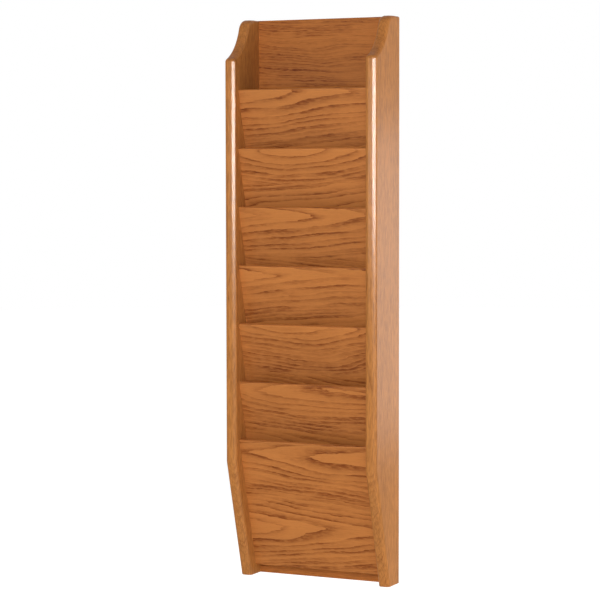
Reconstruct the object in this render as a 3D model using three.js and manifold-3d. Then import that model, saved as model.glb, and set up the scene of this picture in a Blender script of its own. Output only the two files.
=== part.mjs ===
// Wall-hung magazine rack in oak: seven leaning pocket boards between two shaped side panels.
// Millimetres. X runs to the right as the rack is faced, -Y is the front, +Z is up.
// The origin is the middle of the rack's back, which lies against the wall at Y = 0.

import * as THREE from "three";
import { mergeVertices } from "three/addons/utils/BufferGeometryUtils.js";
import Module from "manifold-3d";

// Pockets
const POCKET_COUNT = 7;
const POCKET_WIDTH = 228.6;
const POCKET_PITCH = 94.77;
const LEAN = THREE.MathUtils.degToRad(15.5);

// Thin stock of the pocket boards and the back panel
const BOARD_THICKNESS = 6.35;
const BACK_THICKNESS = 6.35;
const BOARD_LENGTH = 222.25;
const BOARD_TOP_RADIUS = 2;

// Strip that closes the bottom of a pocket
const FLOOR_HEIGHT = 19.05;
const FLOOR_FOOT_DEPTH = 10.57;

// Side panels
const SIDE_THICKNESS = 19.05;
const GROOVE_DEPTH = 6.35;
const FRONT_SETBACK = 12.82;
const FOOT_HEIGHT = 15.7;
const HEAD_ROOM = 115.91;
const FRONT_ROUNDOVER = 6.35;
const TOP_EASE = 3.2;

// Ogee at the top of a side panel: a flat, a round crown and a hollow that ends in a corner
const TOP_FLAT_DEPTH = 26.9;
const CROWN_RADIUS = 20.7;
const OGEE_LEAN = THREE.MathUtils.degToRad(18);
const OGEE_DROP = 66.35;
const OGEE_CORNER_RADIUS = 6.6;

// Taper at the bottom of a side panel
const TAPER_HEIGHT = 194.7;

// Steel keyhole plates in the back edges of the side panels, and their screws
const PLATE_WIDTH = 9.5;
const PLATE_LENGTH = 44.45;
const PLATE_THICKNESS = 1.6;
const PLATE_DROP = 50;
const PLATE_SCREW_INSET = 4.8;
const KEYHOLE_ENTRY_RADIUS = 3.3;
const KEYHOLE_SLOT_WIDTH = 3.6;
const KEYHOLE_SLOT_RISE = 9;
const KEYHOLE_POCKET_DEPTH = 8;
const SCREW_HEAD_RADIUS = 2.6;
const SCREW_HEAD_HEIGHT = 1.4;
const SCREW_HEAD_EDGE = 0.2;
const SCREW_SHANK_RADIUS = 1.3;
const SCREW_LENGTH = 12.7;

// Steel brads through the back panel
const BRAD_RADIUS = 0.65;
const BRAD_HEAD_RADIUS = 1.1;
const BRAD_HEAD_HEIGHT = 0.7;
const BRAD_LENGTH = 15.9;
const BRADS_PER_SIDE = 5;
const BRAD_END_MARGIN = 60;
const FLOOR_BRAD_SPACING = 152.4;

// Gap between pieces that touch, and how far a cutter runs past what it cuts
const FIT = 0.25;
const OVERSHOOT = 1;

// How finely curves and rounded edges are divided
const CURVE_STEPS = 8;
const ROUND_STEPS = 5;

// Finishes
const oakUpright = new THREE.MeshStandardMaterial({ color: 0xb57a4a, roughness: 0.42, metalness: 0 });
const oakLevel = new THREE.MeshStandardMaterial({ color: 0xac6f3c, roughness: 0.45, metalness: 0 });
const oakStrip = new THREE.MeshStandardMaterial({ color: 0xa56b3b, roughness: 0.55, metalness: 0 });
const zincSteel = new THREE.MeshStandardMaterial({ color: 0xb9bbbd, roughness: 0.35, metalness: 1 });

// Sizes that follow from the ones above
const boardRise = BOARD_LENGTH * Math.cos(LEAN);
const boardRun = BOARD_LENGTH * Math.sin(LEAN);
const boardFootY = -(BACK_THICKNESS + FLOOR_FOOT_DEPTH + BOARD_THICKNESS * Math.cos(LEAN));
const rackDepth = -boardFootY + boardRun + FRONT_SETBACK;
const rackHeight = FOOT_HEIGHT + boardRise + (POCKET_COUNT - 1) * POCKET_PITCH + HEAD_ROOM;
const innerX = POCKET_WIDTH / 2;
const sideMiddleX = innerX + SIDE_THICKNESS / 2;
const grooveEndX = innerX + GROOVE_DEPTH;
const housedWidth = 2 * (grooveEndX - FIT);

const wasm = await Module();
wasm.setup();

// A closed geometry as a solid that can be cut and joined
function solidFrom(geometry) {
  geometry.deleteAttribute("normal");
  geometry.deleteAttribute("uv");
  const merged = mergeVertices(geometry, 1e-4);
  return new wasm.Manifold(
    new wasm.Mesh({
      numProp: 3,
      vertProperties: merged.attributes.position.array,
      triVerts: Uint32Array.from(merged.index.array),
    }),
  );
}

// A solid back as a named mesh with its finish
function meshFrom(name, solid, material) {
  const cut = solid.getMesh();
  const geometry = new THREE.BufferGeometry();
  geometry.setAttribute("position", new THREE.BufferAttribute(cut.vertProperties, 3));
  geometry.setIndex(new THREE.BufferAttribute(cut.triVerts, 1));
  geometry.computeVertexNormals();
  const mesh = new THREE.Mesh(geometry, material);
  mesh.name = name;
  return mesh;
}

// A box between two corners
function boxBetween(low, high) {
  const size = high.map((value, i) => value - low[i]);
  const middle = high.map((value, i) => (value + low[i]) / 2);
  return solidFrom(new THREE.BoxGeometry(...size).translate(...middle));
}

// A drawn path as an outline, without the doubled points that arcs leave where they meet
function outlineOf(path) {
  path.closePath();
  const points = path.getPoints(CURVE_STEPS);
  return new THREE.Shape(points.filter((point, i) => point.distanceTo(points.at(i - 1)) > 0.01));
}

// A profile drawn in the Y-Z plane and extruded along X about its middle
function extrudeAcross(shape, width, bevel = { bevelEnabled: false }) {
  const geometry = new THREE.ExtrudeGeometry(shape, { depth: width, ...bevel });
  geometry.translate(0, 0, -width / 2);
  geometry.applyMatrix4(
    new THREE.Matrix4().makeBasis(
      new THREE.Vector3(0, 1, 0),
      new THREE.Vector3(0, 0, 1),
      new THREE.Vector3(1, 0, 0),
    ),
  );
  return geometry;
}

// The same, with both long edges of the outline rounded over by a router bit of this radius
function extrudeRounded(shape, width, radius) {
  return extrudeAcross(shape, width - 2 * radius, {
    bevelThickness: radius,
    bevelSize: radius,
    bevelOffset: -radius,
    bevelSegments: ROUND_STEPS,
  });
}

// Outline of a side panel from its back edge round the ogee, the front and the taper. It runs past
// the back and the foot, where the panel is cut off square afterwards.
function sideOutline() {
  const past = 2 * FRONT_ROUNDOVER;
  const crownY = -TOP_FLAT_DEPTH;
  const crownZ = rackHeight - CROWN_RADIUS;
  const tangentY = crownY - CROWN_RADIUS * Math.cos(OGEE_LEAN);
  const tangentZ = crownZ + CROWN_RADIUS * Math.sin(OGEE_LEAN);
  const cornerZ = rackHeight - OGEE_DROP;

  // The hollow starts where the crown ends, square to the same radius, and ends in the corner
  const chordY = tangentY + rackDepth;
  const chordZ = tangentZ - cornerZ;
  const across = chordY * Math.cos(OGEE_LEAN) - chordZ * Math.sin(OGEE_LEAN);
  const along = chordY * Math.sin(OGEE_LEAN) + chordZ * Math.cos(OGEE_LEAN);
  const hollowRadius = (across * across + along * along) / (2 * across);
  const hollowY = tangentY - hollowRadius * Math.cos(OGEE_LEAN);
  const hollowZ = tangentZ + hollowRadius * Math.sin(OGEE_LEAN);

  // The corner is rounded where the hollow would meet the straight front
  const reach = hollowRadius + OGEE_CORNER_RADIUS;
  const cornerY = -rackDepth + OGEE_CORNER_RADIUS;
  const roundZ = hollowZ - Math.sqrt(reach * reach - (cornerY - hollowY) ** 2);
  const endAngle = Math.atan2(roundZ - hollowZ, cornerY - hollowY);

  const shape = new THREE.Shape();
  shape.moveTo(past, -past);
  shape.lineTo(past, rackHeight);
  shape.absarc(crownY, crownZ, CROWN_RADIUS, Math.PI / 2, Math.PI - OGEE_LEAN, false);
  shape.absarc(hollowY, hollowZ, hollowRadius, -OGEE_LEAN, endAngle, true);
  shape.absarc(cornerY, roundZ, OGEE_CORNER_RADIUS, endAngle + Math.PI, Math.PI, false);
  shape.lineTo(-rackDepth, TAPER_HEIGHT);
  shape.lineTo(-rackDepth + (TAPER_HEIGHT + past) * Math.tan(LEAN), -past);
  return outlineOf(shape);
}

// Outline of the back part of a side panel, whose top edges are only eased
function sideBackOutline() {
  const past = 2 * TOP_EASE;
  const shape = new THREE.Shape();
  shape.moveTo(past, -past);
  shape.lineTo(past, rackHeight);
  shape.lineTo(-TOP_FLAT_DEPTH - past, rackHeight);
  shape.lineTo(-TOP_FLAT_DEPTH - past, -past);
  return outlineOf(shape);
}

// Cross-section of a pocket board that stands on its front foot corner, grown by a clearance
function boardOutline(grow) {
  const top = BOARD_LENGTH + grow;
  const round = grow > 0 ? 0 : BOARD_TOP_RADIUS;
  const shape = new THREE.Shape();
  shape.moveTo(-grow, -grow);
  shape.lineTo(BOARD_THICKNESS + grow, -grow);
  shape.lineTo(BOARD_THICKNESS + grow, top - round);
  if (round > 0) shape.quadraticCurveTo(BOARD_THICKNESS, top, BOARD_THICKNESS - round, top);
  shape.lineTo(-grow + round, top);
  if (round > 0) shape.quadraticCurveTo(0, top, 0, top - round);
  return outlineOf(shape);
}

// Height of the front foot corner of a pocket board, counted from the top one down
function boardFootZ(pocket) {
  return FOOT_HEIGHT + (POCKET_COUNT - pocket) * POCKET_PITCH;
}

// A pin turned about the Y axis from its tip to its head, which lies in the plane of the back. As
// a cutter it is grown by the clearance and runs out past the back.
function turnedPin(profile, grow, sides) {
  const tip = profile[0];
  const head = profile.at(-1);
  const outer = profile.map(([radius, depth]) => [radius + grow, -depth - grow]);
  outer.push([head[0] + grow, grow > 0 ? OVERSHOOT : 0]);
  const points = [[0, -tip[1] - grow], ...outer, [0, outer.at(-1)[1]]];
  return new THREE.LatheGeometry(
    points.map(([radius, height]) => new THREE.Vector2(radius, height)),
    sides,
  );
}

// Radius and depth along a countersunk screw, and along a brad with a flat head
function screwGeometry(grow) {
  const profile = [
    [SCREW_SHANK_RADIUS, SCREW_LENGTH],
    [SCREW_SHANK_RADIUS, SCREW_HEAD_HEIGHT],
    [SCREW_HEAD_RADIUS, SCREW_HEAD_EDGE],
  ];
  return turnedPin(profile, grow, 16);
}

function bradGeometry(grow) {
  const profile = [
    [BRAD_RADIUS, BRAD_LENGTH],
    [BRAD_RADIUS, BRAD_HEAD_HEIGHT],
    [BRAD_HEAD_RADIUS, BRAD_HEAD_HEIGHT],
  ];
  return turnedPin(profile, grow, 8);
}

// Where the brads and the plate screws sit, on either hand
const plateX = (grooveEndX + innerX + SIDE_THICKNESS) / 2;
const plateZ = rackHeight - PLATE_DROP;
const panelBradX = innerX + GROOVE_DEPTH / 2;
const bradStep = (rackHeight - 2 * BRAD_END_MARGIN) / (BRADS_PER_SIDE - 1);
const floorFootZ = (pocket) => boardFootZ(pocket) + BOARD_THICKNESS * Math.sin(LEAN);

const hands = [
  { word: "left", sign: -1 },
  { word: "right", sign: 1 },
];
const pockets = Array.from({ length: POCKET_COUNT }, (_, i) => i + 1);

const panelBrads = hands.flatMap(({ word, sign }) =>
  Array.from({ length: BRADS_PER_SIDE }, (_, i) => ({
    name: `panel_brad_${word}_${i + 1}`,
    x: sign * panelBradX,
    z: rackHeight - BRAD_END_MARGIN - i * bradStep,
  })),
);
const floorBrads = pockets.flatMap((pocket) =>
  hands.map(({ word, sign }) => ({
    name: `floor_brad_${pocket}_${word}`,
    x: (sign * FLOOR_BRAD_SPACING) / 2,
    z: floorFootZ(pocket) + FLOOR_HEIGHT / 2,
  })),
);
const plateScrews = hands.flatMap(({ word, sign }) =>
  [
    { place: "upper", rise: 1 },
    { place: "lower", rise: -1 },
  ].map(({ place, rise }) => ({
    name: `hanger_screw_${word}_${place}`,
    x: sign * plateX,
    z: plateZ + rise * (PLATE_LENGTH / 2 - PLATE_SCREW_INSET),
  })),
);

// Holes for a list of pins, each grown by the clearance and run past the back
function pinHoles(pins, geometry) {
  return pins.map(({ x, z }) => solidFrom(geometry(FIT).translate(x, 0, z)));
}

function cutAll(solid, cutters) {
  return cutters.reduce((rest, cutter) => rest.subtract(cutter), solid);
}

// Stadium outline of a keyhole plate, or of the recess that takes it
function plateOutline(grow) {
  const radius = PLATE_WIDTH / 2 + grow;
  const reach = PLATE_LENGTH / 2 - PLATE_WIDTH / 2;
  const shape = new THREE.Shape();
  shape.absarc(0, reach, radius, 0, Math.PI, false);
  shape.absarc(0, -reach, radius, Math.PI, 2 * Math.PI, false);
  return outlineOf(shape);
}

// Round entry with a slot above it, grown where it stands for the hollow behind the plate
function keyholeOutline(slotWidth, grow) {
  const entry = KEYHOLE_ENTRY_RADIUS + grow;
  const half = slotWidth / 2;
  const entryZ = -KEYHOLE_SLOT_RISE / 2;
  const meet = Math.asin(half / entry);
  const shape = new THREE.Shape();
  shape.absarc(0, entryZ, entry, Math.PI / 2 + meet, (5 * Math.PI) / 2 - meet, false);
  shape.absarc(0, entryZ + KEYHOLE_SLOT_RISE, half, 0, Math.PI, false);
  return outlineOf(shape);
}

// A shape drawn facing the back and cut to a depth from the plane of the back
function extrudeFromBack(shape, depth, past = 0) {
  const geometry = new THREE.ExtrudeGeometry(shape, { depth: depth + past, bevelEnabled: false });
  geometry.rotateX(Math.PI / 2);
  return geometry.translate(0, past, 0);
}

// Everything that is cut out of the back edge of a side panel for its hanger plate
function hangerRecess(sign) {
  const recess = extrudeFromBack(plateOutline(FIT), PLATE_THICKNESS + FIT, OVERSHOOT);
  const keyhole = keyholeOutline(2 * KEYHOLE_ENTRY_RADIUS, FIT);
  const hollow = extrudeFromBack(keyhole, KEYHOLE_POCKET_DEPTH, OVERSHOOT);
  return [recess, hollow].map((geometry) => solidFrom(geometry.translate(sign * plateX, 0, plateZ)));
}

// Side panel: rounded front, square foot and back, grooves for the boards, a rebate for the back
function sidePanel({ word, sign }) {
  const far = rackHeight + rackDepth;
  const behindCrown = boxBetween([-far, -TOP_FLAT_DEPTH, 0], [far, 0, far]);
  const wholeSide = boxBetween([-far, -far, 0], [far, 0, far]);
  const front = solidFrom(extrudeRounded(sideOutline(), SIDE_THICKNESS, FRONT_ROUNDOVER));
  const back = solidFrom(extrudeRounded(sideBackOutline(), SIDE_THICKNESS, TOP_EASE));
  const blank = front
    .intersect(wholeSide)
    .add(back.intersect(behindCrown))
    .translate([sign * sideMiddleX, 0, 0]);

  const grooves = pockets.map((pocket) => {
    const groove = extrudeAcross(boardOutline(FIT), GROOVE_DEPTH + OVERSHOOT);
    groove.rotateX(LEAN);
    groove.translate(sign * (innerX + (GROOVE_DEPTH - OVERSHOOT) / 2), boardFootY, boardFootZ(pocket));
    return solidFrom(groove);
  });
  const rebateNear = sign * (innerX - OVERSHOOT);
  const rebateFar = sign * grooveEndX;
  const rebate = boxBetween(
    [Math.min(rebateNear, rebateFar), -BACK_THICKNESS - FIT, -OVERSHOOT],
    [Math.max(rebateNear, rebateFar), OVERSHOOT, far],
  );
  const ownBrads = panelBrads.filter((brad) => Math.sign(brad.x) === sign);
  const ownScrews = plateScrews.filter((screw) => Math.sign(screw.x) === sign);
  const panel = cutAll(blank, [
    ...grooves,
    rebate,
    ...hangerRecess(sign),
    ...pinHoles(ownBrads, bradGeometry),
    ...pinHoles(ownScrews, screwGeometry),
  ]);
  return meshFrom(`${word}_side_panel`, panel, oakUpright);
}

// Pocket board, placed by its front foot corner and leant forward
function pocketBoard(pocket) {
  const geometry = extrudeAcross(boardOutline(0), housedWidth);
  const mesh = meshFrom(`pocket_board_${pocket}`, solidFrom(geometry), oakLevel);
  mesh.position.set(0, boardFootY, boardFootZ(pocket));
  mesh.rotation.x = LEAN;
  return mesh;
}

// Pocket floor: upright at the back panel, bevelled in front to lie on the board
function pocketFloor(pocket) {
  const width = POCKET_WIDTH - 2 * FIT;
  const rear = -BACK_THICKNESS - FIT;
  const footFront = -BACK_THICKNESS - FLOOR_FOOT_DEPTH + FIT / Math.cos(LEAN);
  const shape = new THREE.Shape();
  shape.moveTo(footFront, 0);
  shape.lineTo(rear, 0);
  shape.lineTo(rear, FLOOR_HEIGHT);
  shape.lineTo(footFront - FLOOR_HEIGHT * Math.tan(LEAN), FLOOR_HEIGHT);
  const strip = solidFrom(extrudeAcross(shape, width).translate(0, 0, floorFootZ(pocket)));
  const ownBrads = floorBrads.filter((brad) => brad.name.startsWith(`floor_brad_${pocket}_`));
  return meshFrom(`pocket_floor_${pocket}`, cutAll(strip, pinHoles(ownBrads, bradGeometry)), oakStrip);
}

// Back panel between the rebates of the sides, flush with their tops, feet and back edges
function backPanel() {
  const half = housedWidth / 2;
  const sheet = boxBetween([-half, -BACK_THICKNESS, 0], [half, 0, rackHeight]);
  const holes = pinHoles([...panelBrads, ...floorBrads], bradGeometry);
  return meshFrom("back_panel", cutAll(sheet, holes), oakLevel);
}

// Keyhole plate: a strip with round ends, the keyhole and two countersunk holes
function hangerPlate({ word, sign }) {
  const shape = plateOutline(0);
  shape.holes.push(keyholeOutline(KEYHOLE_SLOT_WIDTH, 0));
  const strip = extrudeFromBack(shape, PLATE_THICKNESS).translate(sign * plateX, 0, plateZ);
  const ownScrews = plateScrews.filter((screw) => Math.sign(screw.x) === sign);
  const plate = cutAll(solidFrom(strip), pinHoles(ownScrews, screwGeometry));
  return meshFrom(`hanger_plate_${word}`, plate, zincSteel);
}

function pin({ name, x, z }, geometry) {
  const mesh = meshFrom(name, solidFrom(geometry(0)), zincSteel);
  mesh.position.set(x, 0, z);
  return mesh;
}

// The whole rack, raised so that the middle of its back is the origin
const rack = new THREE.Group();
rack.name = "magazine_rack";
rack.position.z = -rackHeight / 2;
rack.add(...hands.map(sidePanel));
rack.add(...pockets.map(pocketBoard));
rack.add(...pockets.map(pocketFloor));
rack.add(backPanel());
rack.add(...hands.map(hangerPlate));
rack.add(...plateScrews.map((place) => pin(place, screwGeometry)));
rack.add(...[...panelBrads, ...floorBrads].map((place) => pin(place, bradGeometry)));

export default rack;
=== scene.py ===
"""The looks of a wall-hung magazine rack in lacquered oak.

Everything is in metres, in the frame of the loaded solids: X to the right of someone who faces the
rack, Y into the wall and Z up, with the origin in the middle of the rack's back.
"""

import logging
import math
from dataclasses import astuple, dataclass
from enum import Enum
from typing import Callable, Sequence

import bmesh
import bpy
from mathutils import Matrix, Vector


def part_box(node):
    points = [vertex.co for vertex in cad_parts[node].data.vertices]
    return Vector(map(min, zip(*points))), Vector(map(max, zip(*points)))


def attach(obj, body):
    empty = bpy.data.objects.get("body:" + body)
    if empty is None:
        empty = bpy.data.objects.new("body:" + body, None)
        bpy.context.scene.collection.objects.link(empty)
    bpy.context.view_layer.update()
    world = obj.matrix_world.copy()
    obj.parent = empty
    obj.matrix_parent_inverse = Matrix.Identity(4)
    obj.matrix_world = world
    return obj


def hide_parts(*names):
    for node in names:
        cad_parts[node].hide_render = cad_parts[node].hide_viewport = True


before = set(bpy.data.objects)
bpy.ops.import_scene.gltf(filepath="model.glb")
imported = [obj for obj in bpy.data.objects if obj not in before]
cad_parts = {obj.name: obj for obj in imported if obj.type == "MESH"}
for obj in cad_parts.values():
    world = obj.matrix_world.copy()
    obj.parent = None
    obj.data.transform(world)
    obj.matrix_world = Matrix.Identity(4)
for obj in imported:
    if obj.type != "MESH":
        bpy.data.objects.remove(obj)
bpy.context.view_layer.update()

log = logging.getLogger("rack")

Point = tuple[float, float, float]
Colour = tuple[float, float, float, float]
Value = float | Sequence[float] | bpy.types.NodeSocket
EdgeTest = Callable[[Vector, Vector], bool]

WHITE: Colour = (1.0, 1.0, 1.0, 1.0)
NEAR = 1e-5  # How far a point may lie from where it is looked for
PAST = 0.001  # How far a cutter stands past the face that it enters
SEAM = 1e-6  # How far doubled points may lie apart
SMOOTH_ANGLE = math.radians(32)  # Up to where faces meet in a curve
ROUND_SIDES = 32  # Sides of a round hole
EASE_STEPS = 2  # Faces of an eased arris


class Hand(Enum):
    """The side of the rack, as it is faced, by its name in the pieces' names."""

    LEFT = "left"
    RIGHT = "right"


class GrainRun(Enum):
    """The direction in which a board's grain runs."""

    LEVEL = "level"
    UPRIGHT = "upright"


class Grain(Enum):
    """How fine each part of the grain is, in cells a metre along the grain and across it."""

    FIBRE = (16.0, 520.0)
    CLOUD = (3.0, 22.0)
    FLECKS = (60.0, 500.0)
    SWING = (7.0, 20.0)
    SHIVER = (40.0, 240.0)
    PATCHES = (12.0, 60.0)
    DASHES = (75.0, 480.0)
    PORES = (110.0, 2100.0)


class LampUse(Enum):
    """What a lamp does: light the pieces or gleam on their lacquer."""

    LIGHT = "light"
    GLEAM = "gleam"


@dataclass(frozen=True)
class RackSizes:
    """Sizes that several pieces share."""

    pocket_count: int = 7
    pocket_width: float = 0.2286
    pocket_pitch: float = 0.09477
    lean: float = math.radians(15.5)
    board_thickness: float = 0.00635
    board_length: float = 0.22225
    back_thickness: float = 0.00635
    floor_foot_depth: float = 0.01057
    floor_height: float = 0.01905
    side_thickness: float = 0.01905
    groove_depth: float = 0.00635
    front_setback: float = 0.01282
    foot_height: float = 0.0157
    head_room: float = 0.11591
    fit: float = 0.00025

    @property
    def height(self) -> float:
        """Overall height."""
        highest = self.foot_height + (self.pocket_count - 1) * self.pocket_pitch
        return highest + self.board_length * math.cos(self.lean) + self.head_room

    @property
    def board_foot_y(self) -> float:
        """Where the front foot corner of a pocket board lies."""
        board = self.board_thickness * math.cos(self.lean)
        return -(self.back_thickness + self.floor_foot_depth + board)

    @property
    def depth(self) -> float:
        """Overall depth."""
        return -self.board_foot_y + self.board_length * math.sin(self.lean) + self.front_setback

    @property
    def inner_x(self) -> float:
        """Half the clear width between the sides."""
        return self.pocket_width / 2

    @property
    def groove_end_x(self) -> float:
        """Where the grooves and rebates in the sides end."""
        return self.inner_x + self.groove_depth

    @property
    def outer_x(self) -> float:
        """Half the overall width."""
        return self.inner_x + self.side_thickness

    def board_foot_z(self, pocket: int) -> float:
        """Height of a board's front foot corner, with pocket 1 at the top."""
        steps = self.pocket_count - pocket
        return self.foot_height + steps * self.pocket_pitch - self.height / 2


SIZES = RackSizes()


# Work at the bench


def clear_selection() -> None:
    """Leave edit mode and deselect everything, the loaded solids included."""
    if bpy.context.object and bpy.context.object.mode != "OBJECT":
        bpy.ops.object.mode_set(mode="OBJECT")
    bpy.ops.object.select_all(action="DESELECT")


def take_up(piece: bpy.types.Object) -> None:
    """Make a piece the only selected object and the active one.

    Args:
        piece: The piece.
    """
    clear_selection()
    piece.select_set(True)
    bpy.context.view_layer.objects.active = piece


def named(name: str) -> bpy.types.Object:
    """Name the object just added, and bring its place into its mesh.

    Args:
        name: The new name of the object and its mesh.

    Returns:
        The object, at the origin, unturned and unscaled.
    """
    piece = bpy.context.object
    piece.name = name
    piece.data.name = name
    bpy.ops.object.transform_apply(location=True, rotation=True, scale=True)
    return piece


def block(name: str, low: Point, high: Point) -> bpy.types.Object:
    """Saw a square block between two corners.

    Args:
        name: The name of the piece.
        low: Its lowest corner.
        high: Its highest corner.

    Returns:
        The block.
    """
    clear_selection()
    size = [b - a for a, b in zip(low, high)]
    middle = [(a + b) / 2 for a, b in zip(low, high)]
    bpy.ops.mesh.primitive_cube_add(size=1.0, location=middle, scale=size)
    return named(name)


def leaning_block(name: str, foot: Point, size: Point, lean: float) -> bpy.types.Object:
    """Saw a block that stands on its front foot edge and leans forward.

    Args:
        name: The name of the piece.
        foot: The middle of its front foot edge.
        size: Its width, thickness and length.
        lean: The angle of its lean from the vertical.

    Returns:
        The block.
    """
    clear_selection()
    turn = Matrix.Rotation(lean, 4, "X")
    middle = Vector(foot) + turn @ Vector((0.0, size[1] / 2, size[2] / 2))
    bpy.ops.mesh.primitive_cube_add(
        size=1.0, location=middle, rotation=(lean, 0.0, 0.0), scale=size
    )
    return named(name)


def copied(piece: bpy.types.Object, name: str, shift: Point) -> bpy.types.Object:
    """Copy a piece with a mesh of its own and move the copy.

    Args:
        piece: The piece that is copied.
        name: The name of the copy.
        shift: How far the copy is moved.

    Returns:
        The copy.
    """
    take_up(piece)
    bpy.ops.object.duplicate(linked=False)
    bpy.context.object.location = shift
    return named(name)


def mirrored(piece: bpy.types.Object, name: str) -> bpy.types.Object:
    """Copy a piece to the other side of the rack, with its faces turned outwards again.

    Args:
        piece: The piece that is copied.
        name: The name of the copy.

    Returns:
        The copy.
    """
    take_up(piece)
    bpy.ops.object.duplicate(linked=False)
    bpy.context.object.scale = (-1.0, 1.0, 1.0)
    copy = named(name)
    close_seams(copy)
    return copy


def stacked(lowest: bpy.types.Object, name: str) -> dict[int, bpy.types.Object]:
    """Copy the lowest pocket's piece to every other pocket.

    Args:
        lowest: The lowest pocket's piece.
        name: The name of the copies, without the pocket's number.

    Returns:
        The pieces by the number of their pocket, from the lowest one up.
    """
    count = SIZES.pocket_count
    pieces = {count: lowest}
    for step in range(1, count):
        shift = (0.0, 0.0, step * SIZES.pocket_pitch)
        pieces[count - step] = copied(lowest, f"{name}_{count - step}", shift)
    return pieces


def drill(
    name: str, x: float, z: float, radius: float, depth: float, turn: float = 0.0
) -> bpy.types.Object:
    """Make a round cutter that goes in from the back of the rack.

    Args:
        name: The name of the cutter.
        x: Where its axis lies across the rack.
        z: Where its axis lies in height.
        radius: Its radius.
        depth: How deep it goes in.
        turn: How far it is turned about its axis.

    Returns:
        The cutter.
    """
    clear_selection()
    bpy.ops.mesh.primitive_cylinder_add(
        vertices=ROUND_SIDES,
        radius=radius,
        depth=depth + PAST,
        location=(x, (PAST - depth) / 2, z),
        rotation=(math.pi / 2, turn, 0.0),
    )
    return named(name)


def cut(piece: bpy.types.Object, cutters: Sequence[bpy.types.Object]) -> None:
    """Cut a piece with cutters that don't meet each other, and put the cutters away.

    Args:
        piece: The piece that is cut.
        cutters: The cutters, which are used up.
    """
    take_up(cutters[0])
    for cutter in cutters:
        cutter.select_set(True)
    bpy.ops.object.join()
    joined = bpy.context.object
    take_up(piece)
    step = piece.modifiers.new("cut", "BOOLEAN")
    step.operation = "DIFFERENCE"
    step.solver = "EXACT"
    step.object = joined
    bpy.ops.object.modifier_apply(modifier=step.name)
    bpy.data.meshes.remove(joined.data)


def runs_across(way: Vector) -> bool:
    """Whether an edge of this direction runs across the rack, along X."""
    return abs(way.x) > 0.9


def select_edges(piece: bpy.types.Object, wanted: EdgeTest) -> int:
    """Select, in edit mode, the edges whose middle and direction answer a question.

    Args:
        piece: The piece, taken up and in edit mode.
        wanted: A function of the edge's middle and unit direction.

    Returns:
        How many edges are selected.
    """
    bpy.ops.mesh.select_mode(type="EDGE")
    bpy.ops.mesh.select_all(action="DESELECT")
    mesh = bmesh.from_edit_mesh(piece.data)
    count = 0
    for edge in mesh.edges:
        a, b = (vert.co for vert in edge.verts)
        if wanted((a + b) / 2, (b - a).normalized()):
            edge.select_set(True)
            count += 1
    mesh.select_flush_mode()
    bmesh.update_edit_mesh(piece.data)
    return count


def ease_edges(piece: bpy.types.Object, wanted: EdgeTest, radius: float, steps: int) -> None:
    """Round over the edges that answer a question.

    Args:
        piece: The piece.
        wanted: A function of the edge's middle and unit direction.
        radius: The radius of the rounding.
        steps: How many faces the rounding gets.
    """
    take_up(piece)
    bpy.ops.object.mode_set(mode="EDIT")
    if select_edges(piece, wanted):
        bpy.ops.mesh.bevel(offset=radius, segments=steps, affect="EDGES", clamp_overlap=False)
    bpy.ops.object.mode_set(mode="OBJECT")


def close_seams(piece: bpy.types.Object) -> None:
    """Merge a piece's doubled points and turn its faces outwards.

    Args:
        piece: The piece.
    """
    take_up(piece)
    bpy.ops.object.mode_set(mode="EDIT")
    bpy.ops.mesh.select_all(action="SELECT")
    bpy.ops.mesh.remove_doubles(threshold=SEAM)
    bpy.ops.mesh.normals_make_consistent(inside=False)
    bpy.ops.object.mode_set(mode="OBJECT")


def smooth(piece: bpy.types.Object) -> None:
    """Close a piece's seams and shade its curves smooth.

    Args:
        piece: The piece.
    """
    close_seams(piece)
    bpy.ops.object.shade_smooth_by_angle(angle=SMOOTH_ANGLE)
    step = piece.modifiers.new("even", "WEIGHTED_NORMAL")
    step.keep_sharp = True
    bpy.ops.object.modifier_apply(modifier=step.name)
    clear_selection()


def set_in_frame(
    piece: bpy.types.Object, node: str, finish: bpy.types.Material
) -> None:
    """Dress a piece and let it stand for its solid.

    Args:
        piece: The finished piece.
        node: The solid that it stands for.
        finish: The piece's material.
    """
    piece.data.materials.clear()
    piece.data.materials.append(finish)
    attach(piece, "root")
    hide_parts(node)


# Finishes


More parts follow.
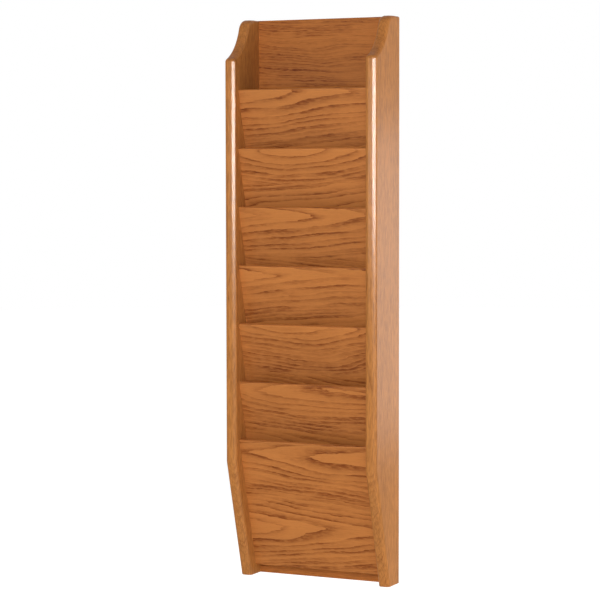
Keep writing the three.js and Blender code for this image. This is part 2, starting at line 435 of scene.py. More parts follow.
class NodeSheet:
    """The nodes of a material or a world, added and linked from left to right."""

    def __init__(self, owner: bpy.types.Material | bpy.types.World) -> None:
        """Start with no nodes.

        Args:
            owner: The material or world that the nodes belong to.
        """
        owner.use_nodes = True
        self.tree = owner.node_tree
        self.tree.nodes.clear()

    def put(self, socket: bpy.types.NodeSocket, value: Value) -> None:
        """Link a socket or set its value.

        Args:
            socket: The input.
            value: The output that is linked to it, or its value.
        """
        if isinstance(value, bpy.types.NodeSocket):
            self.tree.links.new(value, socket)
        else:
            socket.default_value = value

    def add(
        self, kind: str, values: dict[str | int, Value] | None = None, **settings: str
    ) -> bpy.types.Node:
        """Add a node.

        Args:
            kind: The node's type.
            values: What its inputs get, by name or number.
            settings: Its own properties.

        Returns:
            The node.
        """
        node = self.tree.nodes.new(kind)
        for key, value in settings.items():
            setattr(node, key, value)
        for key, value in (values or {}).items():
            self.put(node.inputs[key], value)
        return node

    def maths(self, operation: str, *values: Value) -> bpy.types.NodeSocket:
        """Work out a number from others."""
        node = self.add("ShaderNodeMath", dict(enumerate(values)), operation=operation)
        return node.outputs[0]

    def vector(self, operation: str, *values: Value) -> bpy.types.NodeSocket:
        """Work out a vector from others."""
        node = self.add("ShaderNodeVectorMath", dict(enumerate(values)), operation=operation)
        return node.outputs[0]

    def noise(self, place: Value, detail: float, roughness: float = 0.5) -> bpy.types.Node:
        """Noise of about one cell a unit at a place that is already scaled."""
        values = {"Vector": place, "Scale": 1.0, "Detail": detail, "Roughness": roughness}
        return self.add("ShaderNodeTexNoise", values)

    def grain(
        self, place: Value, part: Grain, detail: float = 2.0, roughness: float = 0.5
    ) -> bpy.types.Node:
        """Noise for a part of the grain.

        Args:
            place: The place in the board's directions.
            part: The part of the grain.
            detail: How many finer layers the noise has.
            roughness: How strong they are.

        Returns:
            The noise.
        """
        along, across = part.value
        stretched = self.vector("MULTIPLY", place, (along, across, across))
        return self.noise(stretched, detail, roughness)

    def ramp(self, factor: Value, stops: Sequence[tuple[float, float]]) -> bpy.types.NodeSocket:
        """Turn a number into another along a line through stops.

        Args:
            factor: The number that goes in.
            stops: Pairs of what goes in and what comes out, both from 0 to 1.

        Returns:
            The number that comes out.
        """
        node = self.add("ShaderNodeValToRGB", {"Fac": factor})
        elements = node.color_ramp.elements
        while len(elements) < len(stops):
            elements.new(0.5)
        for element, (position, level) in zip(elements, stops):
            element.position = position
            element.color = (level, level, level, 1.0)
        return node.outputs["Color"]

    def blend(
        self, factor: Value, first: Value, second: Value, how: str = "MIX"
    ) -> bpy.types.NodeSocket:
        """Mix two colours.

        Args:
            factor: How much of the second one is taken.
            first: The first colour.
            second: The second colour.
            how: The way in which they are mixed.

        Returns:
            The mixed colour.
        """
        values = {"Factor": factor, "A": first, "B": second}
        node = self.add("ShaderNodeMix", values, data_type="RGBA", blend_type=how)
        return node.outputs["Result"]

    def finish(self, shader: bpy.types.NodeSocket, kind: str = "Material") -> None:
        """Send a shader to the output."""
        self.add(f"ShaderNodeOutput{kind}", {"Surface": shader})


@dataclass(frozen=True)
class Leaf:
    """A strip of board cut through the rings about one pith.

    The pith lies at the height of the axis and at the depth behind the face; along the board it
    goes deeper with the slope and the bow.
    """

    axis: float
    depth: float
    slope: float
    bow: float = 0.0


@dataclass(frozen=True)
class OakFinish:
    """Stained and lacquered oak, whose figure comes from rings about a pith behind the face.

    It is worked out in the board's own directions, from an origin of its own: x runs along the
    grain, y into the board and z up the board. The lower leaf ends at the seam, where the upper one
    starts.
    """

    name: str
    run: GrainRun
    seed: float
    lower: Leaf
    upper: Leaf
    seam: float = 0.0
    origin: Point = (0.0, 0.0, 0.0)
    lean: float = 0.0
    pale: Colour = (0.48, 0.171, 0.041, 1.0)
    deep: Colour = (0.17, 0.034, 0.003, 1.0)
    ring_spacing: float = 0.0056
    line: float = 0.0050
    line_fade: float = 2.2
    flare: float = 1.86
    contrast: float = 0.95
    sway: float = 0.022
    roughness: float = 0.38
    sheen: float = 0.05
    coat: float = 0.06
    coat_roughness: float = 0.2
    fleck: float = 0.03
    faint: float = 0.5
    mottle: float = 0.30
    pore_shade: float = 0.38
    pore_depth: float = 0.00025
    pore_dullness: float = 0.2
    ring_pores: float = 0.75
    relief: float = 0.16
    fibre_relief: float = 0.5
    end_shade: float = 0.5
    ring_curve: float = 1.3
    ring_pace: float = 0.8
    ring_unevenness: float = 1.3
    least_climb: float = 0.03

    def material(self) -> bpy.types.Material:
        """Mix the finish.

        Returns:
            The material.
        """
        material = bpy.data.materials.new(self.name)
        sheet = NodeSheet(material)
        turn = (-self.lean, 0.0, 0.0) if self.run is GrainRun.LEVEL else (0.0, math.pi / 2, 0.0)
        where = sheet.add("ShaderNodeTexCoord").outputs["Object"]
        local = sheet.vector("SUBTRACT", where, self.origin)
        place = sheet.add("ShaderNodeMapping", {"Vector": local, "Rotation": turn}).outputs[0]
        drift = sheet.vector("ADD", place, (self.seed, 0.0, 0.0))
        rings = self._rings(sheet, place, drift)
        pores = self._pores(sheet, drift, rings)
        fibre = sheet.grain(drift, Grain.FIBRE, 3.0, 0.6).outputs["Fac"]

        shade = sheet.maths("MULTIPLY", rings, self.contrast)
        shade = sheet.maths("MULTIPLY_ADD", self._end_grain(sheet), self.end_shade, shade)
        wood = sheet.blend(shade, self.pale, self.deep)
        colour = sheet.blend(1.0, wood, self._tone(sheet, drift, fibre, pores), "MULTIPLY")
        height = sheet.maths("MULTIPLY", fibre, self.fibre_relief)
        height = sheet.maths("MULTIPLY_ADD", pores, -1.0, height)
        values = {"Strength": self.relief, "Distance": self.pore_depth, "Height": height}
        normal = sheet.add("ShaderNodeBump", values).outputs[0]
        values = {
            "Base Color": colour,
            "Roughness": sheet.maths("MULTIPLY_ADD", pores, self.pore_dullness, self.roughness),
            "Specular IOR Level": self.sheen,
            "Coat Weight": self.coat,
            "Coat Roughness": self.coat_roughness,
            "Normal": normal,
        }
        sheet.finish(sheet.add("ShaderNodeBsdfPrincipled", values).outputs[0])
        return material

    def _tone(
        self, sheet: NodeSheet, drift: Value, fibre: Value, pores: Value
    ) -> bpy.types.NodeSocket:
        """Work out how the fibres, pores and flecks darken the wood.

        Args:
            sheet: The material's nodes.
            drift: The place in the board's own stretch of noise.
            fibre: The noise of the fibres.
            pores: How much of a pore lies at each place.

        Returns:
            The grey that the wood's colour is multiplied by.
        """
        cloud = sheet.grain(drift, Grain.CLOUD).outputs["Fac"]
        flecks = sheet.grain(drift, Grain.FLECKS).outputs["Fac"]
        flecks = sheet.ramp(flecks, [(0.42, 0.0), (0.62, 1.0)])
        even = 1.0 - self.mottle / 2
        tone = sheet.maths("MULTIPLY_ADD", fibre, self.mottle, even)
        for amount, depth, level in (
            (cloud, self.mottle, even),
            (pores, -self.pore_shade, 1.0),
            (flecks, -self.fleck, 1.0),
        ):
            part = sheet.maths("MULTIPLY_ADD", amount, depth, level)
            tone = sheet.maths("MULTIPLY", tone, part)
        return sheet.add("ShaderNodeCombineColor", {0: tone, 1: tone, 2: tone}).outputs[0]

    def _end_grain(self, sheet: NodeSheet) -> bpy.types.NodeSocket:
        """Work out how far a face cuts across the fibres.

        Args:
            sheet: The material's nodes.

        Returns:
            A number from 0 on a face along the fibres to 1 on one across them.
        """
        way = (1.0, 0.0, 0.0) if self.run is GrainRun.LEVEL else (0.0, 0.0, 1.0)
        normal = sheet.add("ShaderNodeTexCoord").outputs["Normal"]
        share = sheet.add("ShaderNodeVectorMath", {0: normal, 1: way}, operation="DOT_PRODUCT")
        return sheet.maths("ABSOLUTE", share.outputs["Value"])

    def _bent(self, sheet: NodeSheet, place: Value, drift: Value) -> Value:
        """Bend the board's directions as a trunk grows: in long swings with a fine shiver.

        Args:
            sheet: The material's nodes.
            place: The place in the board's directions.
            drift: The same, moved to the board's own stretch of noise.

        Returns:
            The bent place.
        """
        bent = place
        for part, detail, inward, upward in (
            (Grain.SWING, 1.5, 0.35, 1.0),
            (Grain.SHIVER, 2.0, 0.1, 0.16),
        ):
            noise = sheet.grain(drift, part, detail).outputs["Color"]
            swing = sheet.vector("SUBTRACT", noise, (0.5, 0.5, 0.5))
            reach = (0.0, inward * self.sway, upward * self.sway)
            bent = sheet.vector("MULTIPLY_ADD", swing, reach, bent)
        return bent

    def _rings(self, sheet: NodeSheet, place: Value, drift: Value) -> bpy.types.NodeSocket:
        """Work out the dark early wood of the rings.

        Args:
            sheet: The material's nodes.
            place: The place in the board's directions.
            drift: The same, moved to the board's own stretch of noise.

        Returns:
            How dark the early wood is.
        """
        bent = self._bent(sheet, place, drift)
        along, inward, upward = sheet.add("ShaderNodeSeparateXYZ", {0: bent}).outputs
        over = sheet.maths("GREATER_THAN", upward, self.seam)
        axis, depth, slope, bow = (
            sheet.maths("MULTIPLY_ADD", over, up - low, low)
            for low, up in zip(astuple(self.lower), astuple(self.upper))
        )
        slant = sheet.maths("MULTIPLY_ADD", along, bow, slope)
        depth = sheet.maths("MULTIPLY_ADD", along, slant, sheet.maths("ADD", inward, depth))
        width = sheet.maths("ABSOLUTE", sheet.maths("SUBTRACT", upward, axis))
        spread = sheet.maths("POWER", width, self.ring_curve)
        age = sheet.maths("MULTIPLY_ADD", spread, self.flare, depth)
        age = sheet.maths("DIVIDE", age, self.ring_spacing)
        values = {"W": age, "Scale": self.ring_pace, "Detail": 1.0}
        pace = sheet.add("ShaderNodeTexNoise", values, noise_dimensions="1D").outputs["Fac"]
        age = sheet.maths("MULTIPLY_ADD", pace, self.ring_unevenness, age)
        gap = sheet.maths("MULTIPLY", sheet.maths("FRACT", age), self.ring_spacing)
        if self.run is GrainRun.LEVEL:
            tilt = sheet.maths("MULTIPLY_ADD", along, bow, slant)
            rise = sheet.maths("POWER", width, self.ring_curve - 1.0)
            rise = sheet.maths("MULTIPLY", rise, self.ring_curve * self.flare)
            climb = sheet.maths("MULTIPLY_ADD", tilt, tilt, sheet.maths("MULTIPLY", rise, rise))
            climb = sheet.maths("MAXIMUM", sheet.maths("SQRT", climb), self.least_climb)
            gap = sheet.maths("DIVIDE", gap, climb)
        early = sheet.ramp(
            sheet.maths("DIVIDE", gap, self.line_fade * self.line),
            [(0.0, 1.0), (0.25, 0.85), (0.5, 0.35), (1.0, 0.0)],
        )
        year = sheet.maths("FLOOR", sheet.maths("ADD", age, 0.5 + self.seed))
        vigour = sheet.add("ShaderNodeTexWhiteNoise", {"W": year}, noise_dimensions="1D")
        strength = sheet.ramp(vigour.outputs["Value"], [(0.1, self.faint), (0.45, 1.0)])
        early = sheet.maths("MULTIPLY", early, strength)
        patches, dashes = (
            sheet.ramp(sheet.grain(drift, part).outputs["Fac"], stops)
            for part, stops in (
                (Grain.PATCHES, [(0.34, 0.3), (0.58, 1.0)]),
                (Grain.DASHES, [(0.36, 0.45), (0.54, 1.0)]),
            )
        )
        return sheet.maths("MULTIPLY", early, sheet.maths("MULTIPLY", patches, dashes))

    def _pores(self, sheet: NodeSheet, drift: Value, rings: Value) -> bpy.types.NodeSocket:
        """Work out the short dark pores, most of them in the early wood.

        Args:
            sheet: The material's nodes.
            drift: The place in the board's own stretch of noise.
            rings: How dark the early wood is.

        Returns:
            How much of a pore lies at each place.
        """
        noise = sheet.grain(drift, Grain.PORES, 1.0).outputs["Fac"]
        pits = sheet.ramp(noise, [(0.54, 0.0), (0.66, 1.0)])
        share = sheet.maths("MULTIPLY_ADD", rings, self.ring_pores, 1.0 - self.ring_pores)
        return sheet.maths("MULTIPLY", pits, share)


@dataclass(frozen=True)
class ZincFinish:
    """Zinc-plated steel with a faint brushed mottle."""

    name: str = "zinc_steel"
    colour: Colour = (0.42, 0.43, 0.44, 1.0)
    roughness: float = 0.34
    gloss_swing: float = 0.18
    brush: Point = (900.0, 900.0, 300.0)

    def material(self) -> bpy.types.Material:
        """Mix the finish.

        Returns:
            The material.
        """
        material = bpy.data.materials.new(self.name)
        sheet = NodeSheet(material)
        where = sheet.add("ShaderNodeTexCoord").outputs["Object"]
        mottle = sheet.noise(sheet.vector("MULTIPLY", where, self.brush), 3.0).outputs["Fac"]
        tone = sheet.ramp(mottle, [(0.3, 0.82), (0.7, 1.0)])
        colour = sheet.blend(1.0, self.colour, tone, "MULTIPLY")
        least = self.roughness - self.gloss_swing / 2
        gloss = sheet.maths("MULTIPLY_ADD", mottle, self.gloss_swing, least)
        values = {"Base Color": colour, "Metallic": 1.0, "Roughness": gloss}
        sheet.finish(sheet.add("ShaderNodeBsdfPrincipled", values).outputs[0])
        return material


# Each board's lower leaf, upper leaf, seam and ring spacing, from the top board down
BOARD_FIGURES = (
    (Leaf(0.070, 0.030, -0.090), Leaf(0.217, 0.014, 0.086), 0.135, 0.0094),
    (Leaf(0.120, 0.030, -0.080), Leaf(0.2225, 0.0262, 0.040, 1.2), 0.165, 0.0090),
    (Leaf(0.085, 0.034, 0.090), Leaf(0.210, 0.0085, 0.090), 0.140, 0.0086),
    (Leaf(0.100, 0.030, -0.080), Leaf(0.208, 0.0142, 0.070), 0.150, 0.0080),
    (Leaf(0.085, 0.032, 0.090), Leaf(0.224, 0.0195, 0.035, 0.9), 0.140, 0.0072),
    (Leaf(0.110, 0.032, 0.080), Leaf(0.214, 0.020, -0.060, 0.4), 0.155, 0.0078),
    (Leaf(0.071, 0.0159, 0.090), Leaf(0.200, 0.0200, -0.085), 0.125, 0.0084),
)
QUARTER = Leaf(0.0, 0.35, 0.004)  # Cut towards the pith, so that the figure is straight
BACK_LEAF = Leaf(0.95, 0.05, -0.03)

UPRIGHT_OAK = OakFinish(
    "oak_upright",
    GrainRun.UPRIGHT,
    seed=1.3,
    lower=QUARTER,
    upper=QUARTER,
    pale=(0.482, 0.186, 0.044, 1.0),
    deep=(0.25, 0.064, 0.010, 1.0),
    ring_spacing=0.0034,
    line=0.0008,
    flare=0.3,
    contrast=0.48,
    fleck=0.24,
    sheen=0.02,
    coat=0.2,
)
BACK_OAK = OakFinish(
    "oak_back",
    GrainRun.LEVEL,
    seed=31.0,
    lower=BACK_LEAF,
    upper=BACK_LEAF,
    pale=(0.445, 0.148, 0.029, 1.0),
    ring_spacing=0.0095,
    line=0.0030,
    sway=0.026,
    roughness=0.5,
    sheen=0.035,
    coat=0.0,
)
BOARD_OAKS = tuple(
    OakFinish(
        f"oak_board_{pocket}",
        GrainRun.LEVEL,
        seed=3.7 * pocket,
        lower=lower,
        upper=upper,
        seam=seam,
        origin=(0.0, SIZES.board_foot_y, SIZES.board_foot_z(pocket)),
        lean=SIZES.lean,
        ring_spacing=spacing,
    )
    for pocket, (lower, upper, seam, spacing) in enumerate(BOARD_FIGURES, start=1)
)
STRIP_OAKS = tuple(
    OakFinish(f"oak_strip_{tone}", GrainRun.LEVEL, 41.0 + 5.0 * tone, QUARTER, QUARTER, coat=0.0)
    for tone in (1, 2)
)


# Pieces


@dataclass
class SidePanels:
    """The two shaped sides: the right one is made, and the left one is its mirror image."""

    sizes: RackSizes = SIZES
    roundover: float = 0.00635
    roundover_steps: int = 8
    top_ease: float = 0.0032
    first_point: float = 0.001
    top_flat_depth: float = 0.0269
    ease_end: float = 0.0215
    crown_radius: float = 0.0207
    crown_steps: int = 16
    ogee_lean: float = math.radians(18)
    ogee_drop: float = 0.06635
    hollow_steps: int = 20
    corner_radius: float = 0.0066
    corner_steps: int = 8
    taper_height: float = 0.1947
    plate_width: float = 0.0095
    plate_length: float = 0.04445
    plate_thickness: float = 0.0016
    plate_drop: float = 0.050
    hollow_depth: float = 0.008
    entry_radius: float = 0.0033
    slot_rise: float = 0.009
    arris: float = 0.0004

    def _arc(
        self, centre: tuple[float, float], radius: float, start: float, end: float, steps: int
    ) -> list[tuple[float, float]]:
        """Points along an arc.

        Args:
            centre: The arc's centre in Y and Z.
            radius: Its radius.
            start: The angle at which it starts, from +Y towards +Z.
            end: The angle at which it ends.
            steps: How many pieces it is divided into.

        Returns:
            The points, with both ends.
        """
        y, z = centre
        angles = [start + (end - start) * i / steps for i in range(steps + 1)]
        return [(y + radius * math.cos(a), z + radius * math.sin(a)) for a in angles]

    def _outline(self) -> list[tuple[float, float]]:
        """The panel's outline from the top of its back edge, round the front, to its foot.

        Returns:
            Points in Y and Z.
        """
        top = self.sizes.height / 2
        foot = -top
        depth = self.sizes.depth
        lean = self.ogee_lean
        crown = (-self.top_flat_depth, top - self.crown_radius)
        tangent = (
            crown[0] - self.crown_radius * math.cos(lean),
            crown[1] + self.crown_radius * math.sin(lean),
        )
        chord_y = tangent[0] + depth
        chord_z = tangent[1] - (top - self.ogee_drop)
        across = chord_y * math.cos(lean) - chord_z * math.sin(lean)
        along = chord_y * math.sin(lean) + chord_z * math.cos(lean)
        hollow_radius = (across**2 + along**2) / (2 * across)
        hollow = (
            tangent[0] - hollow_radius * math.cos(lean),
            tangent[1] + hollow_radius * math.sin(lean),
        )
        corner_y = -depth + self.corner_radius
        reach = hollow_radius + self.corner_radius
        corner = (corner_y, hollow[1] - math.sqrt(reach**2 - (corner_y - hollow[0]) ** 2))
        turn = math.atan2(corner[1] - hollow[1], corner[0] - hollow[0])

        points = [(0.0, top), (-self.ease_end, top)]
        points += self._arc(
            crown, self.crown_radius, math.pi / 2, math.pi - lean, self.crown_steps
        )
        points += self._arc(hollow, hollow_radius, -lean, turn, self.hollow_steps)[1:]
        points += self._arc(
            corner, self.corner_radius, turn + math.pi, math.pi, self.corner_steps
        )[1:]
        run = self.taper_height * math.tan(self.sizes.lean)
        points += [(-depth, foot + self.taper_height), (-depth + run, foot), (0.0, foot)]
        return points

    def _blank(self) -> bpy.types.Object:
        """Draw the outline point by point, fill it and give it its thickness.

        Returns:
            The blank, with square edges.
        """
        points = [Vector((self.sizes.inner_x, y, z)) for y, z in self._outline()]
        clear_selection()
        bpy.ops.mesh.primitive_plane_add(size=self.first_point, location=points[0])
        blank = named("oak_right_side")
        bpy.ops.object.mode_set(mode="EDIT")
        bpy.ops.mesh.select_mode(type="VERT")
        bpy.ops.mesh.select_all(action="SELECT")
        bpy.ops.mesh.merge(type="CENTER")
        for here, there in zip(points, points[1:]):
            bpy.ops.mesh.extrude_vertices_move(TRANSFORM_OT_translate={"value": there - here})
        bpy.ops.mesh.select_all(action="SELECT")
        bpy.ops.mesh.edge_face_add()
        across = (self.sizes.side_thickness, 0.0, 0.0)
        bpy.ops.mesh.extrude_region_move(TRANSFORM_OT_translate={"value": across})
        bpy.ops.mesh.select_all(action="SELECT")
        bpy.ops.mesh.normals_make_consistent(inside=False)
        bpy.ops.object.mode_set(mode="OBJECT")
        return blank

    def _round_over(self, blank: bpy.types.Object) -> None:
        """Round over both front corners, and pull the rounding of the flat top in.

        Args:
            blank: The blank.
        """
        top = self.sizes.height / 2
        ease_edges(
            blank,
            lambda middle, way: (
                not runs_across(way) and middle.y < -NEAR and middle.z > NEAR - top
            ),
            self.roundover,
            self.roundover_steps,
        )
        bpy.ops.object.mode_set(mode="EDIT")
        for x in (self.sizes.inner_x, self.sizes.outer_x):
            arris = Vector((x, 0.0, top))
            bpy.ops.mesh.select_mode(type="VERT")
            bpy.ops.mesh.select_all(action="DESELECT")
            mesh = bmesh.from_edit_mesh(blank.data)
            for vert in mesh.verts:
                way = vert.co - arris
                close = max(abs(way.x), abs(way.z)) < self.roundover + NEAR
                vert.select_set(close and way.y > -self.ease_end - NEAR)
            mesh.select_flush_mode()
            part = self.top_ease / self.roundover
            bpy.ops.transform.resize(value=(part, 1.0, part), center_override=arris)
        bpy.ops.object.mode_set(mode="OBJECT")
        outer = self.sizes.outer_x - NEAR
        ease_edges(
            blank,
            lambda middle, way: middle.z < NEAR - top or (middle.y > -NEAR and middle.x > outer),
            self.arris,
            EASE_STEPS,
        )

    def _grooves(self) -> list[bpy.types.Object]:
        """Make cutters for the slanted grooves and the rebate.

        Returns:
            The cutters, the rebate's last.
        """
        sizes = self.sizes
        width = sizes.groove_depth + PAST
        turn = Matrix.Rotation(sizes.lean, 4, "X")
        foot_z = sizes.board_foot_z(sizes.pocket_count)
        foot = Vector((sizes.groove_end_x - width / 2, sizes.board_foot_y, foot_z))
        foot += turn @ Vector((0.0, -sizes.fit, -sizes.fit))
        size = (width, sizes.board_thickness + 2 * sizes.fit, sizes.board_length + 2 * sizes.fit)
        lowest = leaning_block(f"groove_{sizes.pocket_count}", foot, size, sizes.lean)
        cutters = list(stacked(lowest, "groove").values())
        reach = sizes.height / 2 + PAST
        low = (sizes.groove_end_x - width, -sizes.back_thickness - sizes.fit, -reach)
        cutters.append(block("rebate", low, (sizes.groove_end_x, PAST, reach)))
        return cutters

    def _stadium(
        self, name: str, radius: float, low: float, high: float, depth: float
    ) -> bpy.types.Object:
        """Make a cutter with round ends, in from the back edge.

        Args:
            name: The cutter's name.
            radius: Half its width.
            low: The height of its lower round centre.
            high: The height of its upper round centre.
            depth: How deep it goes in from the back.

        Returns:
            The cutter.
        """
        x = (self.sizes.groove_end_x + self.sizes.outer_x) / 2
        middle = (low + high) / 2
        cutter = drill(name, x, middle, radius, depth, math.pi / ROUND_SIDES)
        bpy.ops.object.mode_set(mode="EDIT")
        for way in (1, -1):
            bpy.ops.mesh.select_mode(type="VERT")
            bpy.ops.mesh.select_all(action="DESELECT")
            mesh = bmesh.from_edit_mesh(cutter.data)
            for vert in mesh.verts:
                vert.select_set((vert.co.z - middle) * way > 0)
            mesh.select_flush_mode()
            bpy.ops.transform.translate(value=(0.0, 0.0, way * (high - low) / 2))
        bpy.ops.object.mode_set(mode="OBJECT")
        return cutter

    def _model(self) -> bpy.types.Object:
        """Make the right panel, with its grooves and its keyhole plate's recess.

        Returns:
            The panel.
        """
        panel = self._blank()
        self._round_over(panel)
        cut(panel, self._grooves())
        middle = self.sizes.height / 2 - self.plate_drop
        fit = self.sizes.fit
        straight = self.plate_length - self.plate_width
        for name, radius, length, depth in (
            ("recess", self.plate_width / 2 + fit, straight, self.plate_thickness + fit),
            ("hollow", self.entry_radius + fit, self.slot_rise, self.hollow_depth),
        ):
            low = middle - length / 2
            cut(panel, [self._stadium(name, radius, low, low + length, depth)])
        return panel

    def build(self, finish: bpy.types.Material) -> list[bpy.types.Object]:
        """Make both panels.

        Args:
            finish: Their oak.

        Returns:
            The left and the right panel.
        """
        right = self._model()
        left = mirrored(right, "oak_left_side")
        for panel, hand in ((left, Hand.LEFT), (right, Hand.RIGHT)):
            smooth(panel)
            set_in_frame(panel, f"{hand.value}_side_panel", finish)
        return [left, right]


@dataclass
class PocketBoards:
    """The leaning boards that front the pockets: one is made, and the others are copies."""

    sizes: RackSizes = SIZES
    top_radius: float = 0.0019
    top_steps: int = 5
    foot_ease: float = 0.0004

    def _model(self) -> bpy.types.Object:
        """Make the lowest board, with a rounded top edge and an eased foot.

        Returns:
            The board.
        """
        sizes = self.sizes
        width = 2 * (sizes.groove_end_x - sizes.fit)
        lowest = sizes.pocket_count
        foot = (0.0, sizes.board_foot_y, sizes.board_foot_z(lowest))
        size = (width, sizes.board_thickness, sizes.board_length)
        board = leaning_block(f"oak_board_{lowest}", foot, size, sizes.lean)
        halfway = foot[2] + sizes.board_length / 2
        ease_edges(
            board,
            lambda middle, way: runs_across(way) and middle.z > halfway,
            self.top_radius,
            self.top_steps,
        )
        ease_edges(
            board,
            lambda middle, way: runs_across(way) and middle.z < halfway,
            self.foot_ease,
            EASE_STEPS,
        )
        smooth(board)
        return board

    def build(self, finishes: Sequence[bpy.types.Material]) -> list[bpy.types.Object]:
        """Make the boards from the lowest one up.

        Args:
            finishes: The oak of each board, from the top one down.

        Returns:
            The boards.
        """
        boards = stacked(self._model(), "oak_board")
        for pocket, board in boards.items():
            set_in_frame(board, f"pocket_board_{pocket}", finishes[pocket - 1])
        return list(boards.values())


@dataclass
class PocketFloors:
    """The strips that close the pockets at their foot: one is made, and the others are copies."""

    sizes: RackSizes = SIZES
    ease: float = 0.0005

    def _model(self) -> bpy.types.Object:
        """Make the lowest floor, bevelled in front to lie on its board.

        Returns:
            The floor.
        """
        sizes = self.sizes
        half = sizes.inner_x - sizes.fit
        rear = -sizes.back_thickness - sizes.fit
        front = sizes.fit / math.cos(sizes.lean) - sizes.back_thickness - sizes.floor_foot_depth
        lowest = sizes.pocket_count
        foot = sizes.board_foot_z(lowest) + sizes.board_thickness * math.sin(sizes.lean)
        top = foot + sizes.floor_height
        strip = block(f"oak_floor_{lowest}", (-half, front, foot), (half, rear, top))
        bpy.ops.object.mode_set(mode="EDIT")
        select_edges(
            strip,
            lambda middle, way: (
                runs_across(way) and middle.z > foot + NEAR and middle.y < front + NEAR
            ),
        )
        slip = -sizes.floor_height * math.tan(sizes.lean)
        bpy.ops.transform.translate(value=(0.0, slip, 0.0))
        bpy.ops.object.mode_set(mode="OBJECT")
        ease_edges(strip, lambda middle, way: runs_across(way), self.ease, EASE_STEPS)
        smooth(strip)
        return strip

    def build(self, finishes: Sequence[bpy.types.Material]) -> list[bpy.types.Object]:
        """Make the floors from the lowest one up.

        Args:
            finishes: The oak of the floors, taken in turn.

        Returns:
            The floors.
        """
        strips = stacked(self._model(), "oak_floor")
        for step, (pocket, strip) in enumerate(strips.items()):
            finish = finishes[step % len(finishes)]
            set_in_frame(strip, f"pocket_floor_{pocket}", finish)
        return list(strips.values())


@dataclass
class BackPanel:
    """The thin panel behind the pockets."""

    sizes: RackSizes = SIZES
    ease: float = 0.0004
    seat_radius: float = 0.0012
    seat_depth: float = 0.0011
    brad_prefixes: tuple[str, str] = ("panel_brad", "floor_brad")

    def build(self, finish: bpy.types.Material) -> list[bpy.types.Object]:
        """Make the panel with the seats of its brads.

        Args:
            finish: Its oak.

        Returns:
            The panel, as the only piece.
        """
        sizes = self.sizes
        half = sizes.groove_end_x - sizes.fit
        top = sizes.height / 2
        panel = block("oak_back_panel", (-half, -sizes.back_thickness, -top), (half, 0.0, top))
        ease_edges(panel, lambda middle, way: runs_across(way), self.ease, EASE_STEPS)
        brads = [name for name in sorted(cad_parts) if name.startswith(self.brad_prefixes)]
        spots = [sum(corners, Vector()) / 2 for corners in map(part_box, brads)]
        first = spots[0]
        seats = [drill("seat", first.x, first.z, self.seat_radius, self.seat_depth)]
        for spot in spots[1:]:
            seats.append(copied(seats[0], "seat", (spot.x - first.x, 0.0, spot.z - first.z)))
        cut(panel, seats)
        smooth(panel)
        set_in_frame(panel, "back_panel", finish)
        return [panel]


@dataclass
class Hardware:
    """The steel plates, screws and brads, which keep their solids."""

    prefixes: tuple[str, ...] = ("hanger_plate", "hanger_screw", "panel_brad", "floor_brad")

    def build(self, finish: bpy.types.Material) -> list[bpy.types.Object]:
        """Give every steel solid its finish.

        Args:
            finish: The zinc plating.

        Returns:
            The solids.
        """
        names = [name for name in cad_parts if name.startswith(self.prefixes)]
        solids = [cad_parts[name] for name in names]
        for solid in solids:
            solid.data.materials.clear()
            solid.data.materials.append(finish)
        return solids


# The studio


@dataclass
class Softbox:
    """A soft lamp that faces the rack, at an azimuth in degrees from its front to its right."""

    name: str
    azimuth: float
    height: float
    width: float
    tall: float
    watts: float
    distance: float = 3.0
    aim: Point = (0.0, -0.05, 0.0)

    def hang(self, use: LampUse) -> None:
        """Hang the lamp and turn it to the rack.

        Args:
            use: What the lamp does.
        """
        lamp = bpy.data.lights.new(self.name, "AREA")
        lamp.shape = "RECTANGLE"
        lamp.size = self.width
        lamp.size_y = self.tall
        lamp.energy = self.watts
        holder = bpy.data.objects.new(self.name, lamp)
        bpy.context.scene.collection.objects.link(holder)
        way = math.radians(self.azimuth)
        across, towards = math.sin(way) * self.distance, -math.cos(way) * self.distance
        spot = Vector((across, towards, self.height))
        holder.location = spot
        holder.visible_diffuse = use is LampUse.LIGHT
        holder.visible_glossy = use is LampUse.GLEAM
        holder.visible_camera = False
        holder.rotation_euler = (spot - Vector(self.aim)).to_track_quat("Z", "Y").to_euler()


# They light the front, the right side, the back and the left side
LAMPS = (
    Softbox("key", azimuth=12.0, distance=2.6, height=0.7, width=1.2, tall=1.0, watts=38.0),
    Softbox("side", azimuth=96.0, distance=2.6, height=0.2, width=1.2, tall=1.6, watts=28.5),
    Softbox("rear", azimuth=200.0, height=0.5, width=1.6, tall=1.4, watts=42.0),
    Softbox("left", azimuth=-110.0, height=0.3, width=1.4, tall=1.6, watts=14.0),
)
# They gleam along the round-overs, on the right side and on the front of the boards
CARDS = (
    Softbox("card", azimuth=38.0, distance=2.0, height=0.27, width=4.5, tall=0.6, watts=638.0),
    Softbox("backdrop", azimuth=154.0, height=-0.135, width=1.8, tall=0.95, watts=17.2),
    Softbox("front_card", azimuth=-15.0, height=0.1, width=1.2, tall=0.6, watts=20.0),
)


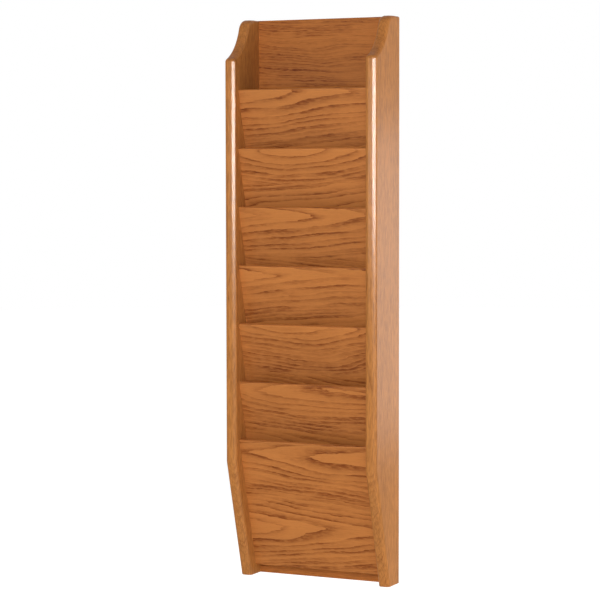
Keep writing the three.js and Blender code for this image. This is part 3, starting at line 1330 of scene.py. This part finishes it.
@dataclass
class Studio:
    """Floor, world, lamps and camera."""

    floor_z: float = -0.92
    floor_radius: float = 14.0
    floor_sides: int = 96
    floor_colour: Colour = (0.86, 0.86, 0.85, 1.0)
    floor_roughness: float = 0.9
    floor_glow: float = 1.16
    glow_share: float = 0.8
    ambient: float = 0.43
    lens: float = 129.36
    sensor: float = 36.0
    clip: tuple[float, float] = (0.05, 60.0)
    stand: Point = (1.4784, -3.1984, 0.2150)
    yaw: float = 0.44413
    pitch: float = 0.06094
    roll: float = -0.00175

    def _world(self) -> None:
        """Light the rack evenly, with white where the world is seen or reflected."""
        world = bpy.data.worlds.new("studio")
        sheet = NodeSheet(world)
        rays = sheet.add("ShaderNodeLightPath").outputs
        seen = sheet.maths("MAXIMUM", rays["Is Camera Ray"], rays["Is Glossy Ray"])
        seen = sheet.maths("MAXIMUM", seen, rays["Is Transmission Ray"])
        values = {"Value": seen, "To Min": self.ambient, "To Max": 1.0}
        strength = sheet.add("ShaderNodeMapRange", values).outputs[0]
        sky = sheet.add("ShaderNodeBackground", {"Color": WHITE, "Strength": strength})
        sheet.finish(sky.outputs[0], "World")
        bpy.context.scene.world = world

    def _floor(self) -> None:
        """Lay a pale floor that keeps the rack's shadow but is otherwise as white as the world."""
        clear_selection()
        bpy.ops.mesh.primitive_circle_add(
            vertices=self.floor_sides,
            radius=self.floor_radius,
            fill_type="NGON",
            location=(0.0, 0.0, self.floor_z),
        )
        floor = named("studio_floor")
        material = bpy.data.materials.new("pale_floor")
        sheet = NodeSheet(material)
        values = {"Base Color": self.floor_colour, "Roughness": self.floor_roughness}
        matt = sheet.add("ShaderNodeBsdfPrincipled", values).outputs[0]
        values = {"Color": WHITE, "Strength": self.floor_glow}
        glow = sheet.add("ShaderNodeEmission", values).outputs[0]
        seen = sheet.add("ShaderNodeLightPath").outputs["Is Camera Ray"]
        share = sheet.maths("MULTIPLY", seen, self.glow_share)
        mixed = sheet.add("ShaderNodeMixShader", {0: share, 1: matt, 2: glow})
        sheet.finish(mixed.outputs[0])
        floor.data.materials.append(material)

    def _camera(self) -> None:
        """Stand the camera to the rack's right, at the photograph's angle."""
        data = bpy.data.cameras.new("camera")
        data.lens = self.lens
        data.sensor_width = self.sensor
        data.clip_start, data.clip_end = self.clip
        camera = bpy.data.objects.new("camera", data)
        bpy.context.scene.collection.objects.link(camera)
        turn = (
            Matrix.Rotation(self.yaw, 4, "Z")
            @ Matrix.Rotation(math.pi / 2 - self.pitch, 4, "X")
            @ Matrix.Rotation(self.roll, 4, "Z")
        )
        camera.matrix_world = Matrix.Translation(self.stand) @ turn
        bpy.context.scene.camera = camera

    def build(self) -> None:
        """Set up the studio."""
        self._world()
        self._floor()
        for lamp in LAMPS:
            lamp.hang(LampUse.LIGHT)
        for card in CARDS:
            card.hang(LampUse.GLEAM)
        self._camera()
        bpy.context.scene.view_settings.view_transform = "Standard"
        log.info("studio ready, with %d lamps and %d cards", len(LAMPS), len(CARDS))


def main() -> None:
    """Build the rack piece by piece and set up the studio."""
    logging.basicConfig(level=logging.INFO, format="%(name)s: %(message)s")
    boards = [oak.material() for oak in BOARD_OAKS]
    upright = UPRIGHT_OAK.material()
    back = BACK_OAK.material()
    strips = [oak.material() for oak in STRIP_OAKS]
    pieces = SidePanels().build(upright)
    pieces += PocketBoards().build(boards)
    pieces += PocketFloors().build(strips)
    pieces += BackPanel().build(back)
    pieces += Hardware().build(ZincFinish().material())
    for piece in pieces:
        log.info("%s is ready, with %d faces", piece.name, len(piece.data.polygons))
    Studio().build()


if __name__ == "__main__":
    main()
